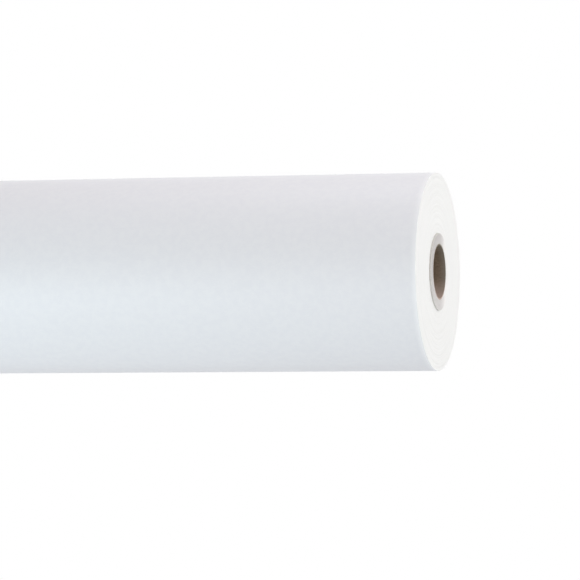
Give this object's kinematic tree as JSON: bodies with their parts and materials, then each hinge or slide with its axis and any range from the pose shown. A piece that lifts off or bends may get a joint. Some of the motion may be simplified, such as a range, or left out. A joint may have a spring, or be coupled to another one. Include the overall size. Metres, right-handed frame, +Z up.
{
  "type": "backdrop paper roll",
  "caption": "Wide web of white background paper wound on a thick spiral-wound paperboard core, with a tail that lifts off the roll; a crossbar goes through the core to hang it.",
  "frame": {"origin": "On the roll's axis, half way along it, at the mount core_bore", "axes": "+X along the roll's axis, towards the end that is shown; +Z up; the leading edge of the paper lies on the +Y side, behind"},
  "size_m": [1.353, 0.1873, 0.1866],
  "materials": {
    "backdrop_paper": "smooth matt white background paper with a soft sheen along the roll",
    "kraft_liner": "brown kraft paper, uncoated, with a spiral butt seam",
    "core_board": "warm grey recycled board, cut square, with fine ply lines",
    "core_outer_ply": "light grey outer ply, uncoated",
    "double_sided_tape": "pale tissue tape, sticky on both sides",
    "masking_tape": "cream creped masking tape"
  },
  "bodies": {
    "roll": {"core_liner_ply": "kraft_liner", "core_board_ply_1": "core_board", "core_board_ply_2": "core_board", "core_board_ply_3": "core_board", "core_board_ply_4": "core_board", "core_board_ply_5": "core_board", "core_board_ply_6": "core_board", "core_outer_ply": "core_outer_ply", "start_tape": "double_sided_tape", "wound_web": "backdrop_paper", "outer_turn": "backdrop_paper"},
    "tail": {"tail": "backdrop_paper", "closing_tape_left": "masking_tape", "closing_tape_middle": "masking_tape", "closing_tape_right": "masking_tape"}
  },
  "joints": [
    {"name": "tail_lift", "type": "hinge", "parent": "roll", "child": "tail", "pos_m": [0, 0.04674, 0.08096], "axis": [1, 0, 0], "range_deg": [0, 75], "stiffness_Nm_per_rad": 0.1}
  ]
}
